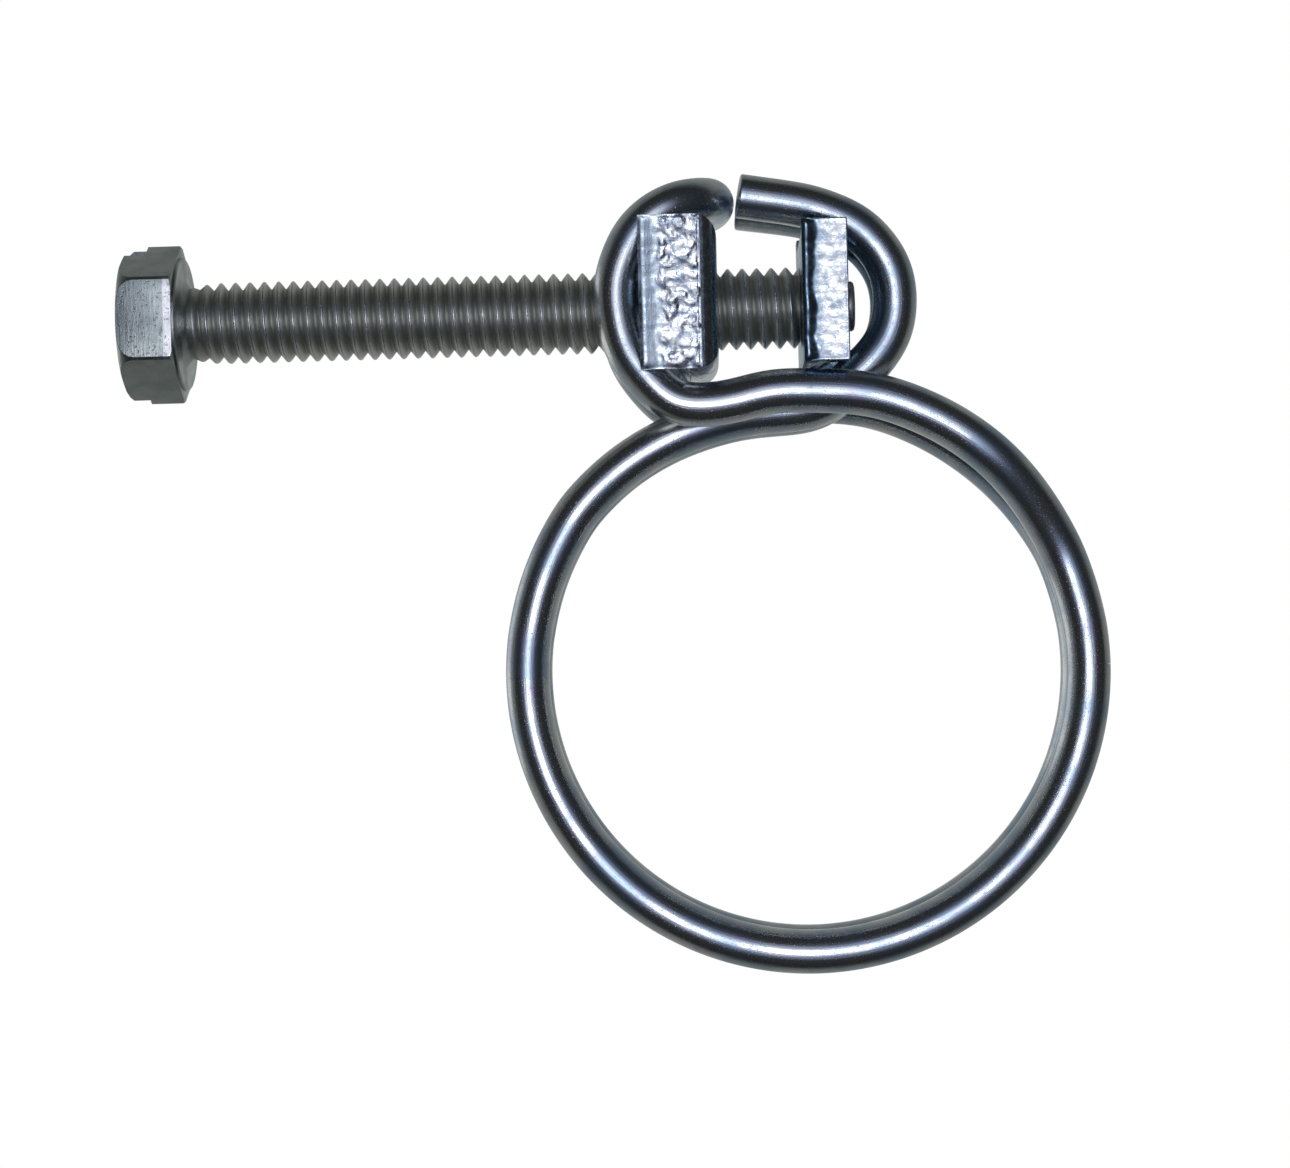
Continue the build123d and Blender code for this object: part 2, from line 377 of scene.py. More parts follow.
# half a pitch of the profile, as shares of the pitch and of the depth
FLANK = [(0.0, 1.0), (0.05, 0.98), (0.09, 0.91), (0.13, 0.82), (0.37, 0.24), (0.41, 0.12),
         (0.455, 0.03), (0.5, 0.0)]


def spun(profile, steps=SPIN_STEPS):
    """A closed lathe shape about the screw's axis, from points along and off that axis."""
    bm = bmesh.new()
    verts = [bm.verts.new((x, 0, AXIS_Z + max(r, 0.001))) for x, r in profile]
    edges = [bm.edges.new(pair) for pair in zip(verts, verts[1:])]
    bmesh.ops.spin(bm, geom=verts + edges, cent=(0, 0, AXIS_Z), axis=(1, 0, 0), angle=math.tau,
                   steps=steps, use_merge=True)
    bmesh.ops.remove_doubles(bm, verts=bm.verts, dist=0.003)
    bmesh.ops.recalc_face_normals(bm, faces=bm.faces)
    return bm


def cut_flat(bm, x, keep_side):
    """Cuts everything past a plane across the screw's axis, and closes the cut."""
    cut = bmesh.ops.bisect_plane(bm, geom=[*bm.verts, *bm.edges, *bm.faces], dist=1e-5,
                                 plane_co=(x, 0, 0), plane_no=(keep_side, 0, 0), clear_inner=True)
    rim = [item for item in cut["geom_cut"] if isinstance(item, bmesh.types.BMEdge)]
    bmesh.ops.edgeloop_fill(bm, edges=rim)


def threaded_shank():
    """The helical thread, fading out under the head, with its ends cut square."""
    bm = bmesh.new()
    depth = THREAD_R - ROOT_R
    turns = round(SHOULDER_X - WASHER_X) + 3
    half = [(share * PITCH, ROOT_R + depth * height) for share, height in FLANK]
    pitch = [(-x, r) for x, r in reversed(half[1:-1])] + half
    profile = [(WASHER_X - 1.5 + turn * PITCH + x, r) for turn in range(turns) for x, r in pitch]
    verts = [bm.verts.new((x, 0, AXIS_Z + r)) for x, r in profile]
    edges = [bm.edges.new(pair) for pair in zip(verts, verts[1:])]
    bmesh.ops.spin(bm, geom=verts + edges, cent=(0, 0, AXIS_Z), axis=(1, 0, 0), angle=math.tau,
                   steps=SPIN_STEPS, dvec=(PITCH / SPIN_STEPS, 0, 0))
    bmesh.ops.remove_doubles(bm, verts=bm.verts, dist=0.004)
    for vert in bm.verts:
        # the die stops short of the head, so the first turns are shallow
        spoke = Vector((0, vert.co.y, vert.co.z - AXIS_Z))
        faded = 1 - min(max((vert.co.x - WASHER_X - 0.3) / RUN_OUT, 0), 1)
        blank = BLANK_R - BLANK_TAPER * faded
        radius = spoke.length + (blank - spoke.length) * faded ** 1.5
        # dents and drag marks on the crests
        crest = max(0, (spoke.length - ROOT_R) / depth - 0.7)
        radius -= crest * DENT * max(0, noise.noise(vert.co * 0.9 + Vector((3, 1, 7))))
        vert.co.y = spoke.y / spoke.length * radius
        vert.co.z = AXIS_Z + spoke.z / spoke.length * radius
    cut_flat(bm, WASHER_X - 0.1, 1)
    cut_flat(bm, SHOULDER_X, -1)
    bmesh.ops.recalc_face_normals(bm, faces=bm.faces)
    return bm


def join_into(bm, other):
    """Copies another bmesh into this one."""
    mesh = bpy.data.meshes.new("passing")
    other.to_mesh(mesh)
    other.free()
    bm.from_mesh(mesh)
    bpy.data.meshes.remove(mesh)


TIP_R = 1.6
PEEN_R = 1.72
tip_end = screw_high.x
shank = threaded_shank()
join_into(shank, spun([
    (SHOULDER_X - 0.2, 0), (SHOULDER_X - 0.2, TIP_R), (tip_end - 0.62, TIP_R),
    (tip_end - 0.5, PEEN_R), (tip_end - 0.2, PEEN_R), (tip_end - 0.06, PEEN_R - 0.1),
    (tip_end, PEEN_R - 0.3), (tip_end, 0)]))
screw_shank = finished("screw_shank", shank, sharp_degrees=50)

# %% [markdown]
# ## The screw's head
# The blank of the head is turned first, with its large chamfer, and the six flats are then cut
# from it. Planes that cut a turned shape leave the curved line between flat and chamfer that
# every real hexagon has. The driver's slot is a boolean, and the last edges are rounded.

# %% Turning, cutting and slotting the head
FACE_PROUD = 0.3            # the drawn face stands this far in front of the plain one
FLAT_INSET = 0.1            # and its flats lie this far in, so that the corners are narrow
HEAD_FACE_X = screw_low.x - FACE_PROUD
HEAD_BACK_X = -42.5
FLATS = screw_high.y - screw_low.y - 2 * FLAT_INSET
CORNER_R = (screw_high.z - screw_low.z) / 2
FACE_R = 4.7
CHAMFER = 1.2
SLOT_WIDTH = 1.9
SLOT_DEPTH = 1.5
SLOT_LEAN = 5               # degrees off upright
WELD = 0.01                 # vertices closer than this after a boolean are one


def carved(bm, tools):
    """Takes closed bmesh tools away from a closed bmesh, exactly."""
    body = object_of("carving", bm)
    helpers = [object_of("tool", tool) for tool in tools]
    for helper in helpers:
        step = body.modifiers.new("take", "BOOLEAN")
        step.operation, step.object, step.solver = "DIFFERENCE", helper, "EXACT"
    worked = body.evaluated_get(bpy.context.evaluated_depsgraph_get())
    mesh = bpy.data.meshes.new_from_object(worked)
    result = bmesh.new()
    result.from_mesh(mesh)
    for piece in [body, *helpers]:
        used = piece.data
        bpy.data.objects.remove(piece)
        bpy.data.meshes.remove(used)
    bpy.data.meshes.remove(mesh)
    return result


def block_of(low, high, lean=0):
    """A closed box between two corners, leaned about the screw's axis."""
    bm = bmesh.new()
    size = Vector(high) - Vector(low)
    middle = (Vector(high) + Vector(low)) / 2
    place = Matrix.Translation(middle) @ Matrix.Rotation(math.radians(lean), 4, "X")
    bmesh.ops.create_cube(bm, size=1, matrix=place @ Matrix.Diagonal((*size, 1)))
    return bm


def bevelled(bm, width, over_degrees, segments=3):
    """Rounds every edge that turns by more than an angle, and notes the new faces, which the head's finish
    paints with shade.
    """
    rubbed_and_edge_shade = bm.faces.layers.float.get("rubbed_and_edge_shade") or bm.faces.layers.float.new("rubbed_and_edge_shade")
    edges = [edge for edge in bm.edges if len(edge.link_faces) == 2
             and edge.calc_face_angle() > math.radians(over_degrees)]
    made = bmesh.ops.bevel(bm, geom=edges, offset=width, segments=segments, profile=0.5,
                           affect="EDGES", material=-1, clamp_overlap=True)
    for face in made["faces"]:
        face[rubbed_and_edge_shade] = 1.0


def hexagon_head():
    """The head without its washer face: turned with a rounded chamfer, cut six times, slotted."""
    rise = [math.radians(step * 15) for step in range(7)]
    dome = [(HEAD_FACE_X + CHAMFER * (1 - math.cos(angle)),
             FACE_R + (CORNER_R - FACE_R) * math.sin(angle)) for angle in rise]
    bm = spun([(HEAD_FACE_X, 0), (HEAD_FACE_X, FACE_R - 0.3), *dome,
               (HEAD_BACK_X - 0.1, CORNER_R), (HEAD_BACK_X, CORNER_R - 0.15), (HEAD_BACK_X, 0)],
              steps=144)
    for corner in range(6):
        angle = math.radians(corner * 60)
        outwards = Vector((0, -math.cos(angle), math.sin(angle)))
        on_flat = Vector((0, 0, AXIS_Z)) + outwards * FLATS / 2
        cut = bmesh.ops.bisect_plane(bm, geom=[*bm.verts, *bm.edges, *bm.faces], dist=1e-5,
                                     plane_co=on_flat, plane_no=outwards, clear_outer=True)
        rim = [item for item in cut["geom_cut"] if isinstance(item, bmesh.types.BMEdge)]
        bmesh.ops.edgeloop_fill(bm, edges=rim)
    bmesh.ops.recalc_face_normals(bm, faces=bm.faces)
    slot = block_of((HEAD_FACE_X - 1, -SLOT_WIDTH / 2, AXIS_Z - 7),
                    (HEAD_FACE_X + SLOT_DEPTH, SLOT_WIDTH / 2, AXIS_Z + 7), lean=SLOT_LEAN)
    bm = carved(bm, [slot])
    bmesh.ops.remove_doubles(bm, verts=bm.verts, dist=WELD)
    bevelled(bm, 0.09, over_degrees=24)
    return bm


WASHER_R = 4.6
head = hexagon_head()
join_into(head, spun([
    (HEAD_BACK_X - 0.1, 0), (HEAD_BACK_X - 0.1, WASHER_R), (WASHER_X - 0.08, WASHER_R),
    (WASHER_X, WASHER_R - 0.1), (WASHER_X, 3.1), (WASHER_X + 0.12, 2.8), (WASHER_X + 0.4, 2.55),
    (WASHER_X + 0.4, 0)], steps=96))
screw_head = finished("screw_head", head, sharp_degrees=30)

# %% Fixing the screw to its body
for piece in (screw_shank, screw_head):
    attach(piece, "screw")
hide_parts("screw")

# %% [markdown]
# ## Sheared steel
# The block and the plate are cropped from bar. A shear leaves a smooth burnished band where the
# blade first cuts, then a torn band where the metal breaks. The ends that face along the hose
# show both, so those faces are diced finely and their vertices are moved by noise: little in the
# burnished band, more in the torn one.

# %% Prisms, dicing and tearing
def prism(outline, y_low, y_high):
    """A closed solid with its outline in X and Z, between two depths."""
    bm = bmesh.new()
    face = bm.faces.new([bm.verts.new((x, y_low, z)) for x, z in outline])
    pulled = bmesh.ops.extrude_face_region(bm, geom=[face])["geom"]
    verts = [item for item in pulled if isinstance(item, bmesh.types.BMVert)]
    bmesh.ops.translate(bm, verts=verts, vec=(0, y_high - y_low, 0))
    bmesh.ops.recalc_face_normals(bm, faces=bm.faces)
    return bm


def diced(bm, low, high, cell):
    """Cuts a mesh into cells by parallel planes along X and along Z."""
    for axis in (0, 2):
        normal = Vector((1, 0, 0)) if axis == 0 else UP
        count = round((high[axis] - low[axis]) / cell)
        for i in range(1, count):
            at = Vector(low) + normal * (high[axis] - low[axis]) * i / count
            bmesh.ops.bisect_plane(bm, geom=[*bm.verts, *bm.edges, *bm.faces], dist=1e-6,
                                   plane_co=at, plane_no=normal)


def fractal(at):
    """Noise with detail at several sizes, from about -1 to 1."""
    return noise.fractal(at, 0.9, 2.1, 4, noise_basis="PERLIN_ORIGINAL")


def torn(bm, low, high, burnished, depth, slope, seed):
    """Moves the vertices of the two cropped ends in, and notes how torn each one is."""
    tear = bm.verts.layers.float.new("tear")
    for vert in bm.verts:
        if abs(vert.co.y) < high.y - 0.02:
            vert[tear] = 0.0
            continue
        edge = burnished + 0.35 * fractal(Vector((seed, 0, vert.co.z * 0.55)))
        share = min(max((vert.co.x - low.x - edge) / 0.5, 0), 1)
        grain = fractal(Vector((vert.co.x, seed, vert.co.z)) * 1.7)
        streaks = fractal(Vector((vert.co.x * 0.5, seed + 5, vert.co.z * 4.0)))
        vert[tear] = share
        before_tear = max(edge - (vert.co.x - low.x), 0)
        inward = depth * share * (0.55 + 0.6 * grain)
        inward += slope * before_tear + 0.012 * (1 + streaks)
        rim = min(vert.co.x - low.x, high.x - vert.co.x, vert.co.z - low.z, high.z - vert.co.z)
        inward *= min(max(rim / 0.25, 0), 1)
        vert.co.y -= math.copysign(max(inward, 0), vert.co.y)

# %% [markdown]
# The block has two seats at each end of its height where the wire bends round it, closed off by
# thin lips, and it is rounded over on the edge where the shear pulled the metal down.

# %% The nut block
DICE = 0.16                 # the cells of both cropped pieces
BORE_R = 2.9
BLOCK_SEAT_Y = 6.6          # the seats end here, inside the lips
ROLL_OVER = 1.45
TOP_ROLL = 1.0


def round_over(bm, x, y_limit, radius, segments=8):
    """Rounds the upright edges at one side of both cropped ends."""
    edges = [edge for edge in bm.edges
             if all(abs(vert.co.x - x) < 1e-4 and abs(abs(vert.co.y) - y_limit) < 1e-4
                    for vert in edge.verts)]
    bmesh.ops.bevel(bm, geom=edges, offset=radius, segments=segments, profile=0.5, affect="EDGES",
                    material=-1, clamp_overlap=True)


def bar_of(low, high):
    """A closed box between two corners, as the outline of a bar."""
    outline = [(low.x, low.z), (high.x, low.z), (high.x, high.z), (low.x, high.z)]
    return prism(outline, low.y, high.y)


def make_nut_block():
    """The block: lower seat, clearance along the back, upper seat, and the countersunk bore."""
    low, high = block_low, block_high
    bm = bar_of(low, high)
    round_over(bm, high.x, high.y, ROLL_OVER)
    top_edges = [edge for edge in bm.edges
                 if all(abs(vert.co.z - high.z) < 1e-4 and vert.co.x > high.x - ROLL_OVER - 0.01
                        for vert in edge.verts)]
    bmesh.ops.bevel(bm, geom=top_edges, offset=TOP_ROLL, segments=6, profile=0.5,
                    affect="EDGES", material=-1, clamp_overlap=True)
    seats = [
        [(low.x - 1, low.z - 1), (low.x + 3.2, low.z - 1), (low.x + 3.2, low.z),
         (low.x + 1.5, low.z + 2.15), (low.x + 0.1, low.z + 4.5), (low.x - 1, low.z + 4.5)],
        [(low.x - 1, low.z + 4.4), (low.x + 0.1, low.z + 4.4), (low.x + 0.1, high.z - 4.1),
         (low.x - 1, high.z - 4.1)],
        [(low.x - 1, high.z + 1), (low.x - 1, high.z - 4.2), (low.x + 0.1, high.z - 4.2),
         (low.x + 1.3, high.z - 2.2), (low.x + 2.8, high.z - 0.65), (high.x + 1, high.z - 0.65),
         (high.x + 1, high.z + 1)],
    ]
    tools = [prism(seat, -BLOCK_SEAT_Y, BLOCK_SEAT_Y) for seat in seats]
    bore = spun([(low.x - 1, 0), (low.x - 1, BORE_R + 1.45), (low.x + 0.45, BORE_R),
                 (high.x - 0.3, BORE_R), (high.x + 1, BORE_R + 1.3), (high.x + 1, 0)])
    bm = carved(bm, [*tools, bore])
    bmesh.ops.remove_doubles(bm, verts=bm.verts, dist=WELD)
    bevelled(bm, 0.09, over_degrees=40, segments=2)
    diced(bm, low, high, DICE)
    torn(bm, low, high, burnished=1.1, depth=0.16, slope=0.12, seed=2.5)
    return bm


nut_block = finished("nut_block_sheared", make_nut_block(), sharp_degrees=60)

# %% [markdown]
# The thrust plate is thinner, and its seats run across its back edges. Its torn band is flatter
# than the block's and leans a little, which is why it flashes white. The burnished band beside it
# is painted dark blue, as painted shade.

# %% The thrust plate
PLATE_SEAT_Y = 4.75
HOLE_R = 1.65
BURR = UP * 0.2             # the torn metal hangs this far below the plain plate


def make_thrust_plate():
    """The plate: a seat below and one above, and the plain hole for the screw's tip."""
    low, high = plate_low - BURR, plate_high
    bm = bar_of(low, high)
    lower_seat = [(low.x + 0.2, low.z - 1), (high.x + 1, low.z - 1), (high.x + 1, low.z + 1.7),
                  (high.x, low.z + 1.7), (low.x + 1.9, low.z + 0.75), (low.x + 0.2, low.z)]
    upper_seat = [(low.x - 1, high.z + 1), (low.x - 1, high.z - 0.8), (low.x, high.z - 0.8),
                  (low.x + 1.2, high.z - 1.2), (low.x + 2.3, high.z - 1.75), (high.x, high.z - 2.4),
                  (high.x + 1, high.z - 2.4), (high.x + 1, high.z + 1)]
    tools = [prism(seat, -PLATE_SEAT_Y, PLATE_SEAT_Y) for seat in (lower_seat, upper_seat)]
    hole = spun([(low.x - 1, 0), (low.x - 1, HOLE_R), (high.x + 1, HOLE_R), (high.x + 1, 0)])
    bm = carved(bm, [*tools, hole])
    bmesh.ops.remove_doubles(bm, verts=bm.verts, dist=WELD)
    bevelled(bm, 0.1, over_degrees=40)
    diced(bm, low, high, DICE)
    torn(bm, low, high, burnished=0.87, depth=0.05, slope=0.4, seed=7.5)
    return bm


thrust_plate = finished("thrust_plate_sheared", make_thrust_plate(), sharp_degrees=60)
for piece, body in ((nut_block, "nut_block"), (thrust_plate, "thrust_plate")):
    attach(piece, body)
    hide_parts(body)

# %% [markdown]
# ## Finishes
# Everything on the clamp is zinc plated, but each piece shows it differently: the drawn wire is
# bright with a blue and violet bloom, the screw is satin, and the cropped ends glitter. A small
# helper adds a node and fills its inputs, so that each finish reads as a recipe.

# %% Helpers for nodes
def fill(tree, socket, value):
    """Links a node's first output or a socket, and sets anything else as the constant."""
    if isinstance(value, bpy.types.Node):
        value = value.outputs[0]
    if isinstance(value, bpy.types.NodeSocket):
        tree.links.new(value, socket)
    else:
        socket.default_value = value


def put(tree, kind, settings=None, **inputs):
    """Adds a node and fills its inputs, which go by name or, as at_0, by number."""
    made = tree.nodes.new(kind)
    for name, value in (settings or {}).items():
        setattr(made, name, value)
    for name, value in inputs.items():
        key = int(name[3:]) if name.startswith("at_") else name.replace("_", " ")
        fill(tree, made.inputs[key], value)
    return made


def maths(tree, operation, a, b=0.0):
    """One step of arithmetic."""
    return put(tree, "ShaderNodeMath", {"operation": operation}, at_0=a, at_1=b)


def ranged(tree, value, low, high, to_low=0.0, to_high=1.0):
    """Stretches a part of a value's range, softly at both ends."""
    return put(tree, "ShaderNodeMapRange", {"interpolation_type": "SMOOTHSTEP"}, Value=value,
               From_Min=low, From_Max=high, To_Min=to_low, To_Max=to_high)


def mixed(tree, share, a, b):
    """One colour into another."""
    made = put(tree, "ShaderNodeMix", {"data_type": "RGBA"}, at_0=share)
    for socket, value in ((made.inputs[6], a), (made.inputs[7], b)):
        fill(tree, socket, (*value, 1.0) if isinstance(value, tuple) else value)
    return made.outputs[2]


def group(name, inputs, outputs):
    """An empty node group, with its input and output nodes."""
    tree = bpy.data.node_groups.new(name, "ShaderNodeTree")
    for label, kind, value in inputs:
        socket = tree.interface.new_socket(label, in_out="INPUT", socket_type=kind)
        if value is not None:
            socket.default_value = value
    for label, kind in outputs:
        tree.interface.new_socket(label, in_out="OUTPUT", socket_type=kind)
    return tree, tree.nodes.new("NodeGroupInput"), tree.nodes.new("NodeGroupOutput")

# %% [markdown]
# Bright zinc is never one colour. Thin oxide lies on it in clouds, which turn the reflection blue
# in one place and violet in another. All the finishes share this bloom, each at its own strength.

# %% The bloom of zinc plating
VECTOR, FLOAT, COLOUR = "NodeSocketVector", "NodeSocketFloat", "NodeSocketColor"

bloom_tree, given, result = group(
    "plating_bloom",
    [("Place", VECTOR, None), ("Size", FLOAT, 4.0), ("Strength", FLOAT, 1.0),
     ("Metal", COLOUR, (0.86, 0.87, 0.88, 1)), ("Blue", COLOUR, (0.56, 0.68, 0.82, 1)),
     ("Violet", COLOUR, (0.72, 0.66, 0.84, 1))],
    [("Color", COLOUR), ("Cloud", FLOAT)])
place, strength = given.outputs["Place"], given.outputs["Strength"]
per_size = maths(bloom_tree, "DIVIDE", 1.0, given.outputs["Size"])
clouds = put(bloom_tree, "ShaderNodeTexNoise", Vector=place, Scale=per_size, Detail=4.0,
             Roughness=0.6)
wisps = put(bloom_tree, "ShaderNodeTexNoise", {"noise_dimensions": "4D"}, Vector=place, W=3.0,
            Scale=maths(bloom_tree, "MULTIPLY", per_size, 2.3), Detail=5.0, Roughness=0.65)
blue_share = maths(bloom_tree, "MULTIPLY", ranged(bloom_tree, clouds, 0.38, 0.66), strength)
violet_share = maths(bloom_tree, "MULTIPLY", ranged(bloom_tree, wisps, 0.54, 0.72), strength)
blued = mixed(bloom_tree, blue_share, given.outputs["Metal"], given.outputs["Blue"])
bloomed = mixed(bloom_tree, violet_share, blued, given.outputs["Violet"])
fill(bloom_tree, result.inputs["Color"], bloomed)
fill(bloom_tree, result.inputs["Cloud"], clouds)
print("group", bloom_tree.name, "with", len(bloom_tree.nodes), "nodes")

# %% [markdown]
# Marks of making are long and thin: a die draws lines along wire, and a tool turns rings on a
# head. One group makes both, from noise that is stretched along one axis, with a few pits.

# %% Lines and pits
marks_tree, given, result = group(
    "making_marks",
    [("Place", VECTOR, None), ("Stretch", VECTOR, (0.1, 8.0, 8.0)), ("Pit size", FLOAT, 0.12)],
    [("Height", FLOAT), ("Pits", FLOAT)])
stretched = put(marks_tree, "ShaderNodeVectorMath", {"operation": "MULTIPLY"},
                at_0=given.outputs["Place"], at_1=given.outputs["Stretch"])
lines = put(marks_tree, "ShaderNodeTexNoise", Vector=stretched, Scale=1.0, Detail=3.0,
            Roughness=0.7)
specks = put(marks_tree, "ShaderNodeTexNoise", Vector=given.outputs["Place"],
             Scale=maths(marks_tree, "DIVIDE", 1.0, given.outputs["Pit size"]), Detail=2.0)
pits = ranged(marks_tree, specks, 0.60, 0.72)
pitted_lines = maths(marks_tree, "SUBTRACT", lines, maths(marks_tree, "MULTIPLY", pits, 0.6))
fill(marks_tree, result.inputs["Height"], pitted_lines)
fill(marks_tree, result.inputs["Pits"], pits)
print("group", marks_tree.name, "with", len(marks_tree.nodes), "nodes")

# %% A finish starts the same way each time
def finish(name):
    """A material with one Principled shader, and the object's coordinates in millimetres."""
    made = bpy.data.materials.new(name)
    made.use_nodes = True
    tree = made.node_tree
    tree.nodes.clear()
    surface = put(tree, "ShaderNodeBsdfPrincipled", Metallic=1.0)
    put(tree, "ShaderNodeOutputMaterial", Surface=surface)
    coordinates = put(tree, "ShaderNodeTexCoord").outputs["Object"]
    place = put(tree, "ShaderNodeMapping", Vector=coordinates, Scale=(1 / MM, 1 / MM, 1 / MM))
    return made, tree, surface, place


def use(tree, shared, **inputs):
    """Places a shared group in a material."""
    made = tree.nodes.new("ShaderNodeGroup")
    made.node_tree = shared
    for name, value in inputs.items():
        fill(tree, made.inputs[name.replace("_", " ")], value)
    return made


def scratched(tree, surface, height, strength, depth):
    """Gives a surface its relief, the depth in millimetres."""
    bump = put(tree, "ShaderNodeBump", Strength=strength, Distance=depth * MM, Height=height)
    fill(tree, surface.inputs["Normal"], bump)

# %% [markdown]
# The wire's reflection is sharp along a smooth stretch and frosted where the plating is thicker,
# so roughness follows the clouds. Its draw marks run along its own UV map, and here and there a
# drawn-in sliver of brass-coloured soap shows.

# %% Bright drawn wire
BRASS = (0.75, 0.50, 0.22)


def wire_finish():
    """Bloomed and finely scratched bright zinc, with a few golden slivers."""
    made, tree, surface, place = finish("bright_zinc_wire")
    along = put(tree, "ShaderNodeUVMap", {"uv_map": "along_wire"})
    bloom = use(tree, bloom_tree, Place=place, Size=4.0, Strength=1.0)
    marks = use(tree, marks_tree, Place=along, Stretch=(0.12, 7.0, 1.0), Pit_size=0.13)
    drawn_out = put(tree, "ShaderNodeMapping", Vector=along, Scale=(0.28, 3.2, 1))
    sliver = put(tree, "ShaderNodeTexNoise", Vector=drawn_out, Scale=1.0)
    golden = ranged(tree, sliver, 0.735, 0.77, 0.0, 0.8)
    fill(tree, surface.inputs["Base Color"], mixed(tree, golden, bloom.outputs["Color"], BRASS))
    frosted = ranged(tree, bloom.outputs["Cloud"], 0.38, 0.62, 0.18, 0.30)
    pitted = maths(tree, "MULTIPLY", marks.outputs["Pits"], 0.12)
    fill(tree, surface.inputs["Roughness"], maths(tree, "ADD", frosted, pitted))
    scratched(tree, surface, marks.outputs["Height"], 0.30, 0.03)
    return made


wire_zinc = wire_finish()
for piece in (wire_nut_loop, wire_thrust_ends, wire_bow):
    piece.data.materials.append(wire_zinc)
print("wire finish with", len(wire_zinc.node_tree.nodes), "nodes")

# %% [markdown]
# The thread is cut or rolled, so its crests are smooth and light, and its roots are painted darker,
# as painted shade in the grooves. How far a point lies from the screw's axis says which is which,
# and it can be read from the object's own coordinates.

# %% Satin screw zinc
ROOT_SHADE = (0.58, 0.58, 0.53)
PAINTED_EDGE_SHADE = (0.16, 0.17, 0.18)
PAINTED_HIGHLIGHT = (1.0, 0.98, 1.0)
HIGHLIGHT_STRIP_WIDTH = 0.6              # width of the painted highlight strip


def off_axis(tree, place):
    """How far a point is from the screw's axis, in millimetres."""
    flat = put(tree, "ShaderNodeVectorMath", {"operation": "MULTIPLY"}, at_0=place,
               at_1=(0, 1, 1))
    spoke = put(tree, "ShaderNodeVectorMath", {"operation": "DISTANCE"}, at_0=flat,
                at_1=(0, 0, AXIS_Z))
    return spoke.outputs["Value"]


def thread_finish():
    """Crests smooth and light, roots painted darker as shade."""
    made, tree, surface, place = finish("satin_zinc_thread")
    surface.inputs["Metallic"].default_value = 0.85
    bloom = use(tree, bloom_tree, Place=place, Size=1.6, Strength=0.35,
                Metal=(0.98, 0.98, 0.93, 1), Blue=(0.74, 0.77, 0.76, 1),
                Violet=(0.84, 0.80, 0.86, 1))
    marks = use(tree, marks_tree, Place=place, Stretch=(7.0, 1.0, 1.0), Pit_size=0.16)
    # the roots are painted darker than the crests, as painted shade in the grooves
    crest = ranged(tree, off_axis(tree, place), ROOT_R + 0.05, THREAD_R - 0.08)
    fill(tree, surface.inputs["Base Color"], mixed(tree, crest, ROOT_SHADE, bloom.outputs["Color"]))
    rubbed_and_edge_shade = ranged(tree, off_axis(tree, place), THREAD_R - 0.2, THREAD_R - 0.02, 0.38, 0.25)
    pitted = maths(tree, "MULTIPLY", marks.outputs["Pits"], 0.1)
    fill(tree, surface.inputs["Roughness"], maths(tree, "ADD", rubbed_and_edge_shade, pitted))
    scratched(tree, surface, marks.outputs["Height"], 0.35, 0.03)
    return made


def head_finish():
    """Satin faces with painted shade on their rounded edges, and a painted highlight in a strip on the front
    flat by the washer.
    """
    made, tree, surface, place = finish("satin_zinc_head")
    bloom = use(tree, bloom_tree, Place=place, Size=1.4, Strength=0.5,
                Metal=(0.60, 0.64, 0.62, 1), Blue=(0.46, 0.54, 0.55, 1),
                Violet=(0.54, 0.56, 0.58, 1))
    marks = use(tree, marks_tree, Place=place, Stretch=(6.0, 1.2, 0.5), Pit_size=0.22)
    rubbed_and_edge_shade = put(tree, "ShaderNodeAttribute", {"attribute_name": "rubbed_and_edge_shade"}).outputs["Fac"]
    axes = put(tree, "ShaderNodeSeparateXYZ", Vector=place)
    # a painted highlight: a near-white strip on the front flat, next to the washer
    highlight_from = HEAD_BACK_X - HIGHLIGHT_STRIP_WIDTH
    by_washer = ranged(tree, axes.outputs["X"], highlight_from, highlight_from + 0.12)
    on_flat = ranged(tree, axes.outputs["Y"], -FLATS / 2 + 0.12, -FLATS / 2 + 0.06)
    highlight_strip = maths(tree, "MULTIPLY", by_washer, on_flat)
    plated = mixed(tree, highlight_strip, bloom.outputs["Color"], PAINTED_HIGHLIGHT)
    # the rounded edges are painted dark, as painted shade
    edge_shade_share = maths(tree, "MULTIPLY", rubbed_and_edge_shade, 0.8)
    fill(tree, surface.inputs["Base Color"], mixed(tree, edge_shade_share, plated, PAINTED_EDGE_SHADE))
    roughness = ranged(tree, bloom.outputs["Cloud"], 0.3, 0.7, 0.30, 0.42)
    fill(tree, surface.inputs["Roughness"], roughness)
    scratched(tree, surface, marks.outputs["Height"], 0.5, 0.04)
    return made


thread_zinc, head_zinc = thread_finish(), head_finish()
screw_shank.data.materials.append(thread_zinc)
screw_head.data.materials.append(head_zinc)
print("screw finishes:", thread_zinc.name, head_zinc.name)

# %% [markdown]
# The torn bands are a field of small facets, each of which catches the light or misses it. Their
# relief comes from cells, and the tear attribute that the mesh carries keeps it off the
# burnished band, where there are only fine upright scratches.

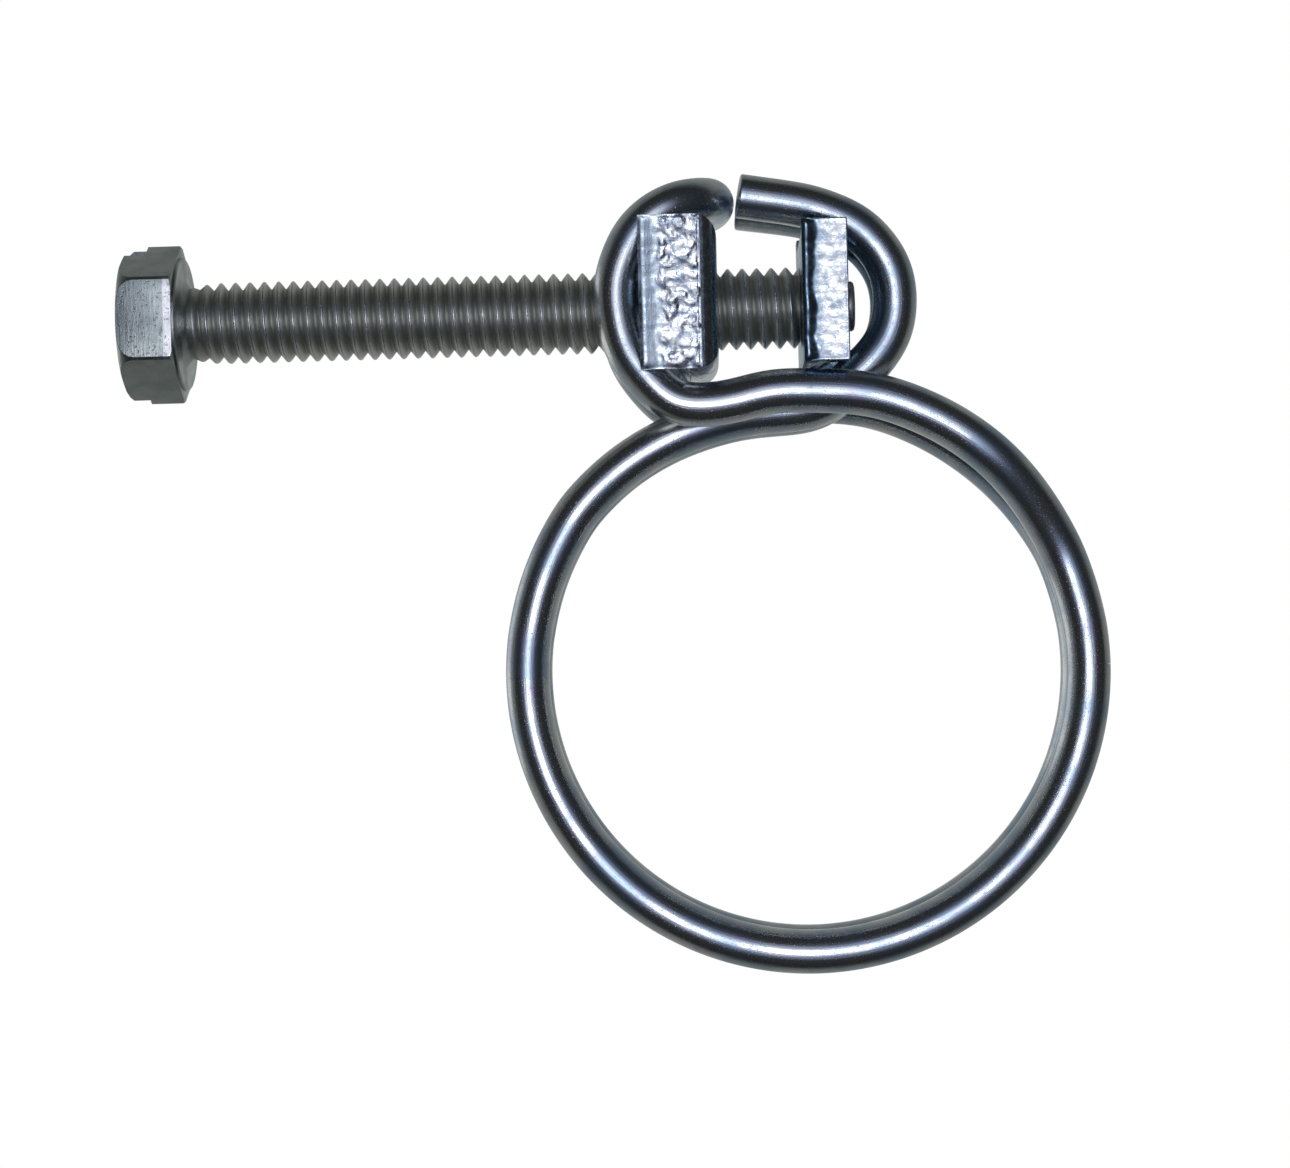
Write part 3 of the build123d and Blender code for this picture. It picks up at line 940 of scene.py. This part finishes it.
# %% Sheared and plated steel
def sheared_finish(name, facet, relief, torn_metal, burnished_and_shaded):
    """The finish of a cropped piece: facet is the size of a torn facet, in millimetres."""
    made, tree, surface, place = finish(name)
    tear = put(tree, "ShaderNodeAttribute", {"attribute_name": "tear"}).outputs["Fac"]
    bloom = use(tree, bloom_tree, Place=place, Size=0.7, Strength=0.85, Metal=(*torn_metal, 1),
                Blue=(0.50, 0.58, 0.70, 1), Violet=(0.66, 0.64, 0.80, 1))
    # the burnished band is a real smoother band, and its darker, bluer colour is painted shade
    base = mixed(tree, tear, burnished_and_shaded, bloom.outputs["Color"])
    fill(tree, surface.inputs["Base Color"], base)
    marks = use(tree, marks_tree, Place=place, Stretch=(5.0, 1.0, 0.6), Pit_size=0.2)
    drift = put(tree, "ShaderNodeTexNoise", Vector=place, Scale=2.0, Detail=3.0).outputs["Color"]
    warped = put(tree, "ShaderNodeVectorMath", {"operation": "ADD"}, at_0=place, at_1=drift)
    cells = put(tree, "ShaderNodeTexVoronoi", {"feature": "SMOOTH_F1"}, Vector=warped,
                Scale=1 / facet, Smoothness=0.35)
    grain = put(tree, "ShaderNodeTexNoise", Vector=place, Scale=2.6, Detail=3.0, Roughness=0.55)
    facets = maths(tree, "ADD", cells.outputs["Distance"], maths(tree, "MULTIPLY", grain, 0.55))
    height = maths(tree, "ADD", maths(tree, "MULTIPLY", facets, tear),
                   maths(tree, "MULTIPLY", marks.outputs["Height"], 0.15))
    scratched(tree, surface, height, relief, 0.1)
    fill(tree, surface.inputs["Roughness"], ranged(tree, grain, 0.35, 0.65, 0.16, 0.36))
    return made


WHITE = (1.0, 1.0, 1.0)
# the last colour is each burnished band's, darkened as painted shade, most on the plate
block_zinc = sheared_finish("torn_zinc_block", 0.85, 0.42, WHITE, (0.62, 0.70, 0.78))
plate_zinc = sheared_finish("torn_zinc_plate", 0.30, 0.10, WHITE, (0.30, 0.42, 0.54))
nut_block.data.materials.append(block_zinc)
thrust_plate.data.materials.append(plate_zinc)
print("sheared finishes:", block_zinc.name, plate_zinc.name)

# %% [markdown]
# ## A white studio
# Polished wire shows the room more than itself. The room here is a white wall behind the clamp,
# a lit panel in front of it, and darkness all round between them, which draws the two dark lines
# along each wire. The world's colour depends on the angle from the front, so one ramp holds it.

# %% The room
FRONT = (0, -1, 0)
# the lit walls reach further forward at the sides than above and below
SIDE_REACH, UPRIGHT_REACH, LEFT_REACH = 0.05, -0.02, 0.05
# degrees from the front, and the colour there: lit panel, darkness, the wall behind
ROOM = [
    (0, (0.92, 0.96, 1.0)), (9, (0.86, 0.91, 0.98)), (17, (0.50, 0.57, 0.74)),
    (26, (0.19, 0.20, 0.29)), (36, (0.030, 0.032, 0.034)), (84, (0.016, 0.017, 0.017)),
    (98, (0.12, 0.128, 0.124)), (130, (0.21, 0.222, 0.216)), (156, (0.28, 0.295, 0.288)),
    (180, (0.6, 0.62, 0.61))]


def if_seen(tree, lit, seen):
    """One shader for light that falls on the clamp, and another for what the camera sees."""
    camera_ray = put(tree, "ShaderNodeLightPath").outputs["Is Camera Ray"]
    return put(tree, "ShaderNodeMixShader", at_0=camera_ray, at_1=lit, at_2=seen)


def light_room():
    """Makes the world: the room's tones in reflections, plain white to the camera."""
    world = bpy.data.worlds.new("white_room")
    bpy.context.scene.world = world
    world.use_nodes = True
    tree = world.node_tree
    tree.nodes.clear()
    towards = put(tree, "ShaderNodeTexCoord").outputs["Generated"]
    dot = {"operation": "DOT_PRODUCT"}
    facing = put(tree, "ShaderNodeVectorMath", dot, at_0=towards, at_1=FRONT)
    angle = maths(tree, "DIVIDE", maths(tree, "ARCCOSINE", facing.outputs["Value"]), math.pi)
    spread = put(tree, "ShaderNodeVectorMath", {"operation": "ABSOLUTE"}, at_0=towards)
    reaches = ((spread, (SIDE_REACH, 0, UPRIGHT_REACH)), (towards, (-LEFT_REACH, 0, 0)))
    for vector, reach in reaches:
        shift = put(tree, "ShaderNodeVectorMath", dot, at_0=vector, at_1=reach)
        angle = maths(tree, "ADD", angle, shift.outputs["Value"])
    ramp = put(tree, "ShaderNodeValToRGB", Fac=angle)
    marks = ramp.color_ramp.elements
    while len(marks) < len(ROOM):
        marks.new(0.5)
    for mark, (degrees, colour) in zip(marks, ROOM):
        mark.position, mark.color = degrees / 180, (*colour, 1)
    room = put(tree, "ShaderNodeBackground", Color=ramp, Strength=1.0)
    wall = put(tree, "ShaderNodeBackground", Color=(1, 1, 1, 1), Strength=1.0)
    put(tree, "ShaderNodeOutputWorld", Surface=if_seen(tree, room, wall))
    print("room with", len(ROOM), "tones")


light_room()

# %% Lamps
def soft_lamp(name, at, aimed_at, size, radiance):
    """A square lamp whose surface is as bright as the given radiance, whatever its size."""
    lamp = bpy.data.lights.new(name, "AREA")
    lamp.shape, lamp.size = "SQUARE", size
    lamp.energy = radiance * math.pi * size * size
    piece = bpy.data.objects.new(name, lamp)
    bpy.context.collection.objects.link(piece)
    piece.location = at
    piece.rotation_euler = (Vector(aimed_at) - Vector(at)).to_track_quat("-Z", "Y").to_euler()


soft_lamp("front_lamp", at=(-0.01, -0.50, -0.03), aimed_at=(0, 0, 0.005), size=0.17, radiance=1.9)
soft_lamp("left_wall", at=(-0.45, 0.24, 0.02), aimed_at=(-0.02, 0, 0.02), size=0.34, radiance=0.4)

# %% The floor
FLOOR_GAP = 0.00005         # just clear of the ring, in metres


def pale_floor():
    """A wide pale disc under the clamp, which the camera sees as plain white."""
    bm = bmesh.new()
    bmesh.ops.create_circle(bm, cap_ends=True, segments=96, radius=3.0,
                            matrix=Matrix.Translation((0, 0, cad_box[0][2] - FLOOR_GAP)))
    floor = object_of("pale_floor", bm)
    made = bpy.data.materials.new("pale_card")
    made.use_nodes = True
    tree = made.node_tree
    tree.nodes.clear()
    card = put(tree, "ShaderNodeBsdfDiffuse", Color=(0.80, 0.80, 0.80, 1))
    white = put(tree, "ShaderNodeEmission", Color=(1, 1, 1, 1), Strength=1.0)
    put(tree, "ShaderNodeOutputMaterial", Surface=if_seen(tree, card, white))
    floor.data.materials.append(made)
    floor.visible_glossy = False


pale_floor()

# %% [markdown]
# ## The camera
# The camera looks along the hose, from about 200 mm in front of the clamp and a little to its
# left, and it is turned by a degree and a half, so the screw rises slightly to the right.

# %% Standing the camera
def stand_camera(at, aimed_at, lean, lens):
    """A camera looking from one point to another, leaned about its own line of sight."""
    camera = bpy.data.cameras.new("catalogue_camera")
    camera.sensor_width, camera.lens, camera.clip_start = 36, lens, 0.005
    piece = bpy.data.objects.new("catalogue_camera", camera)
    bpy.context.collection.objects.link(piece)
    ahead = (Vector(aimed_at) - Vector(at)).normalized()
    side = Matrix.Rotation(math.radians(lean), 3, ahead) @ ahead.cross(UP).normalized()
    axes = Matrix((side, side.cross(ahead), -ahead)).transposed()
    piece.matrix_world = Matrix.Translation(at) @ axes.to_4x4()
    bpy.context.scene.camera = piece
    print("camera at", tuple(round(x, 4) for x in at), "with a", round(lens, 1), "mm lens")


stand_camera(at=(-0.00624, -0.20035, 0.00300), aimed_at=(-0.01098, 0, 0.00624), lean=1.425,
             lens=81.18)
bpy.context.scene.view_settings.view_transform = "Standard"
